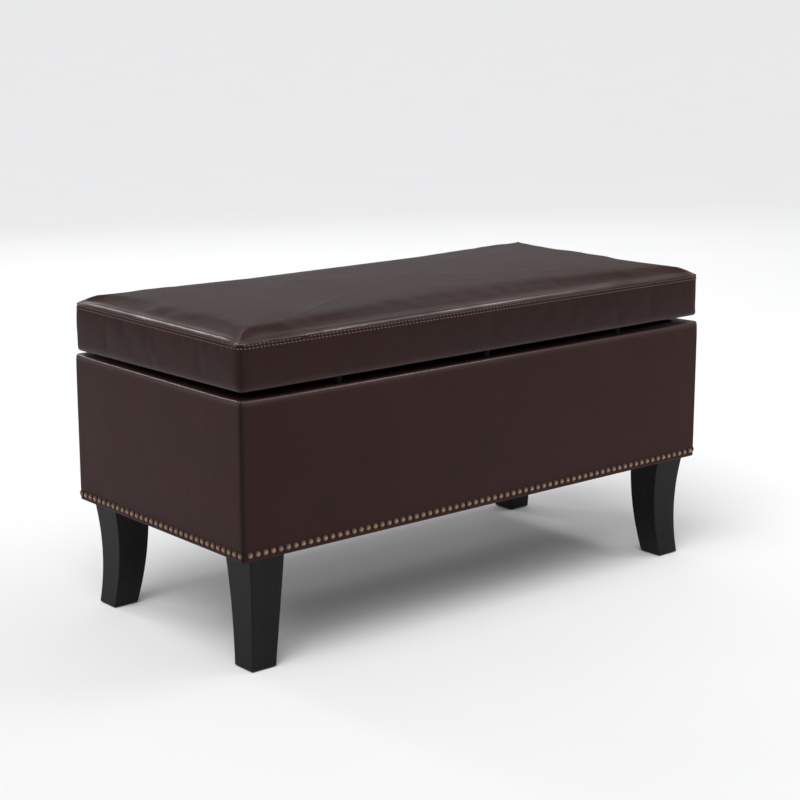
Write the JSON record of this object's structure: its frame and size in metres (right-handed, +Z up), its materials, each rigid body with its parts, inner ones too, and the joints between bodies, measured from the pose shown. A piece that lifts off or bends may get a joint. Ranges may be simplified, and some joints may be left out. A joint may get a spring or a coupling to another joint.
{
  "type": "storage bench",
  "caption": "Long upholstered storage bench with a padded hinged lid on folding stays, nail trim around the foot of the box and four curved legs.",
  "frame": {"origin": "on the floor under the middle of the bench", "axes": "+X along the length, -Y the front, +Z up"},
  "size_m": [0.9052, 0.4252, 0.477],
  "materials": {
    "espresso_leather": "smooth bonded leather, satin",
    "antique_bronze": "antiqued, darkened in the hollows",
    "ebonised_wood": "black satin lacquer",
    "board_wood": "bare board",
    "padding_foam": "open foam",
    "black_lining": "matte non-woven cloth",
    "zinc_steel": "bright zinc plate",
    "black_steel": "black satin enamel",
    "glide_plastic": "moulded",
    "bumper_rubber": "matte"
  },
  "bodies": {
    "box": {"box_back_board": "board_wood", "box_back_leather": "espresso_leather", "box_back_padding": "padding_foam", "box_front_board": "board_wood", "box_front_leather": "espresso_leather", "box_front_padding": "padding_foam", "box_left_board": "board_wood", "box_left_leather": "espresso_leather", "box_left_padding": "padding_foam", "box_right_board": "board_wood", "box_right_leather": "espresso_leather", "box_right_padding": "padding_foam", "corner_blocks": "board_wood", "dust_cover": "black_lining", "floor_battens": "board_wood", "floor_board": "board_wood", "foot_glides": "glide_plastic", "hinge_box_leaf_left": "zinc_steel", "hinge_box_leaf_right": "zinc_steel", "hinge_pins": "zinc_steel", "hinge_screws_box": "zinc_steel", "leg_back_left": "ebonised_wood", "leg_back_right": "ebonised_wood", "leg_bolts": "zinc_steel", "leg_front_left": "ebonised_wood", "leg_front_right": "ebonised_wood", "nails_back_left": "antique_bronze", "nails_back_right": "antique_bronze", "nails_front_left": "antique_bronze", "nails_front_right": "antique_bronze", "nails_left_end": "antique_bronze", "nails_right_end": "antique_bronze", "stay_base_bracket_left": "black_steel", "stay_base_bracket_right": "black_steel", "stay_base_pins": "zinc_steel", "stay_screws_box": "zinc_steel", "storage_lining": "black_lining", "tee_nuts": "zinc_steel"},
    "lid": {"lid_board": "board_wood", "lid_foam": "padding_foam", "lid_top_leather": "espresso_leather", "lid_boxing": "espresso_leather", "lid_lining": "black_lining", "lid_bumpers": "bumper_rubber", "hinge_lid_leaf_left": "zinc_steel", "hinge_lid_leaf_right": "zinc_steel", "hinge_screws_lid": "zinc_steel", "stay_lid_bracket_left": "zinc_steel", "stay_lid_bracket_right": "zinc_steel", "stay_lid_pins": "zinc_steel", "stay_screws_lid": "zinc_steel"},
    "stay_left_link": {"stay_link_left": "black_steel", "stay_spring_left": "zinc_steel", "stay_knuckle_pin_left": "zinc_steel"},
    "stay_left_arm": {"stay_arm_left": "black_steel"},
    "stay_right_link": {"stay_link_right": "black_steel", "stay_spring_right": "zinc_steel", "stay_knuckle_pin_right": "zinc_steel"},
    "stay_right_arm": {"stay_arm_right": "black_steel"}
  },
  "joints": [
    {"name": "lid_hinge", "type": "hinge", "parent": "box", "child": "lid", "pos_m": [0, 0.206, 0.3895], "axis": [-1, 0, 0], "range_deg": [0, 48]},
    {"name": "stay_left_lower_pivot", "type": "hinge", "parent": "box", "child": "stay_left_link", "pos_m": [-0.395, 0.162, 0.3402], "axis": [-1, 0, 0], "range_deg": [0, 48]},
    {"name": "stay_left_knuckle", "type": "hinge", "parent": "stay_left_link", "child": "stay_left_arm", "pos_m": [-0.395, 0.008, 0.3362], "axis": [-1, 0, 0], "range_deg": [-48, 0]},
    {"name": "stay_right_lower_pivot", "type": "hinge", "parent": "box", "child": "stay_right_link", "pos_m": [0.395, 0.162, 0.3402], "axis": [-1, 0, 0], "range_deg": [0, 48]},
    {"name": "stay_right_knuckle", "type": "hinge", "parent": "stay_right_link", "child": "stay_right_arm", "pos_m": [0.395, 0.008, 0.3362], "axis": [-1, 0, 0], "range_deg": [-48, 0]}
  ],
  "couplings": [
    {"joint": "stay_left_lower_pivot", "follows": "lid_hinge", "ratio": 1},
    {"joint": "stay_left_knuckle", "follows": "lid_hinge", "ratio": -1},
    {"joint": "stay_right_lower_pivot", "follows": "lid_hinge", "ratio": 1},
    {"joint": "stay_right_knuckle", "follows": "lid_hinge", "ratio": -1}
  ]
}
